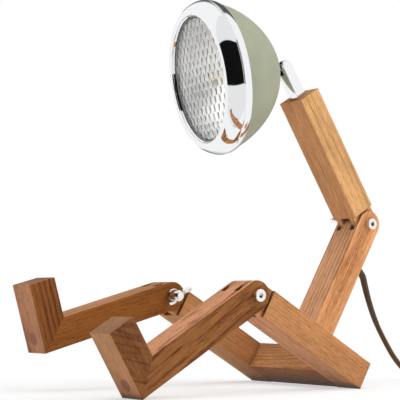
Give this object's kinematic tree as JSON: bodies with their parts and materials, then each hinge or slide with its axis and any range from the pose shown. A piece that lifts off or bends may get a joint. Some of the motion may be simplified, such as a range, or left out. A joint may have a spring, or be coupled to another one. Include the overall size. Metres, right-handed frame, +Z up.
{
  "type": "desk lamp",
  "caption": "Desk lamp shaped as a seated wooden robot: jointed ash limbs on wing-nut bolts and a chrome-rimmed headlamp head on a swivel neck, with a textile cord.",
  "frame": {"origin": "middle of the base of the box round the seated figure, without its cord, on the table", "axes": "+Z up, the figure faces -Y, its left is +X"},
  "size_m": [0.1566, 0.492, 0.3251],
  "materials": {
    "oiled_ash": "oiled, open straight grain",
    "light_ash": "oiled, fine straight grain",
    "beech": "turned dowel",
    "dark_wood": "sanded end grain",
    "nickel": "bright nickel plate",
    "chrome": "mirror polish",
    "zinc_steel": "zinc plate",
    "olive_paint": "smooth matt olive",
    "prism_glass": "clear, moulded prisms inside",
    "black_rubber": "matt",
    "reflector_aluminium": "bright anodised",
    "white_ceramic": "glazed ceramic",
    "lamp_glass": "clear, warm when lit",
    "lamp_base_plastic": "moulded",
    "terminal_plastic": "moulded",
    "lead_sleeve": "smooth sleeve",
    "brown_textile": "braided textile",
    "dark_plastic": "fine satin",
    "rocker_plastic": "glossy"
  },
  "bodies": {
    "frame": {"left_thigh": "oiled_ash", "right_thigh": "oiled_ash", "hip_crossbar": "oiled_ash", "hip_dowels": "beech", "torso_dowels": "beech", "lower_torso": "oiled_ash", "cord_gland": "black_rubber", "lower_lead": "lead_sleeve", "waist_bolt": "nickel", "waist_washer": "nickel", "cord_lead": "brown_textile", "cord_tail": "brown_textile", "cord_end": "brown_textile", "cord_coil": "brown_textile", "switch_lower": "dark_plastic", "switch_upper": "dark_plastic", "switch_screws": "zinc_steel", "switch_pin": "zinc_steel", "plug_body": "dark_plastic", "plug_pins": "nickel"},
    "waist_nut": {"waist_wing_nut": "nickel"},
    "upper_body": {"upper_torso": "light_ash", "upper_lead": "lead_sleeve", "neck_bar": "chrome", "neck_pin": "zinc_steel"},
    "neck_swivel": {"neck_barrel": "chrome", "tilt_pin": "zinc_steel"},
    "head": {"head_lug": "chrome", "bowl": "olive_paint", "bezel_ring": "chrome", "lens": "prism_glass", "lens_gasket": "black_rubber", "lens_clips": "zinc_steel", "reflector": "reflector_aluminium", "lamp_holder": "white_ceramic", "holder_bracket": "zinc_steel", "stud_nut": "zinc_steel", "stud_washer": "zinc_steel", "lamp_glass": "lamp_glass", "lamp_base": "lamp_base_plastic", "terminal_block": "terminal_plastic"},
    "left_leg": {"left_shin": "oiled_ash", "left_foot": "oiled_ash", "left_foot_screw": "zinc_steel", "left_foot_plug": "dark_wood", "left_knee_bolt": "nickel", "left_knee_washer": "nickel"},
    "left_knee_nut": {"left_knee_wing_nut": "nickel"},
    "right_leg": {"right_shin": "oiled_ash", "right_foot": "oiled_ash", "right_foot_screw": "zinc_steel", "right_foot_plug": "dark_wood", "right_knee_bolt": "nickel", "right_knee_washer": "nickel"},
    "right_knee_nut": {"right_knee_wing_nut": "nickel"},
    "rocker": {"switch_rocker": "rocker_plastic"}
  },
  "joints": [
    {"name": "waist", "type": "hinge", "parent": "frame", "child": "upper_body", "pos_m": [0.00183, 0.14838, 0.13962], "axis": [1, 0, 0], "range_deg": [-76, 33]},
    {"name": "left_knee", "type": "hinge", "parent": "frame", "child": "left_leg", "pos_m": [0.05983, -0.02308, 0.0761], "axis": [1, 0, 0], "range_deg": [-76, 34]},
    {"name": "right_knee", "type": "hinge", "parent": "frame", "child": "right_leg", "pos_m": [-0.05617, -0.02308, 0.0761], "axis": [1, 0, 0], "range_deg": [-60, 49]},
    {"name": "head_turn", "type": "hinge", "parent": "upper_body", "child": "neck_swivel", "pos_m": [0.00183, 0.06338, 0.27282], "axis": [0, -0.5299, 0.848], "range_deg": [-5.9, 34.1]},
    {"name": "head_tilt", "type": "hinge", "parent": "neck_swivel", "child": "head", "pos_m": [0.00183, 0.06338, 0.27282], "axis": [0.9699, -0.2066, -0.1291], "range_deg": [-10, 28]},
    {"name": "waist_nut_turn", "type": "hinge", "parent": "frame", "child": "waist_nut", "pos_m": [-0.01737, 0.14838, 0.13962], "axis": [-1, 0, 0], "continuous": true},
    {"name": "left_knee_nut_turn", "type": "hinge", "parent": "left_leg", "child": "left_knee_nut", "pos_m": [0.04063, -0.02308, 0.0761], "axis": [-1, 0, 0], "continuous": true},
    {"name": "right_knee_nut_turn", "type": "hinge", "parent": "right_leg", "child": "right_knee_nut", "pos_m": [-0.03697, -0.02308, 0.0761], "axis": [1, 0, 0], "continuous": true},
    {"name": "switch_rock", "type": "hinge", "parent": "frame", "child": "rocker", "pos_m": [-0.00617, 0.27197, 0.012], "axis": [1, 0, 0], "range_deg": [0, 16]}
  ]
}
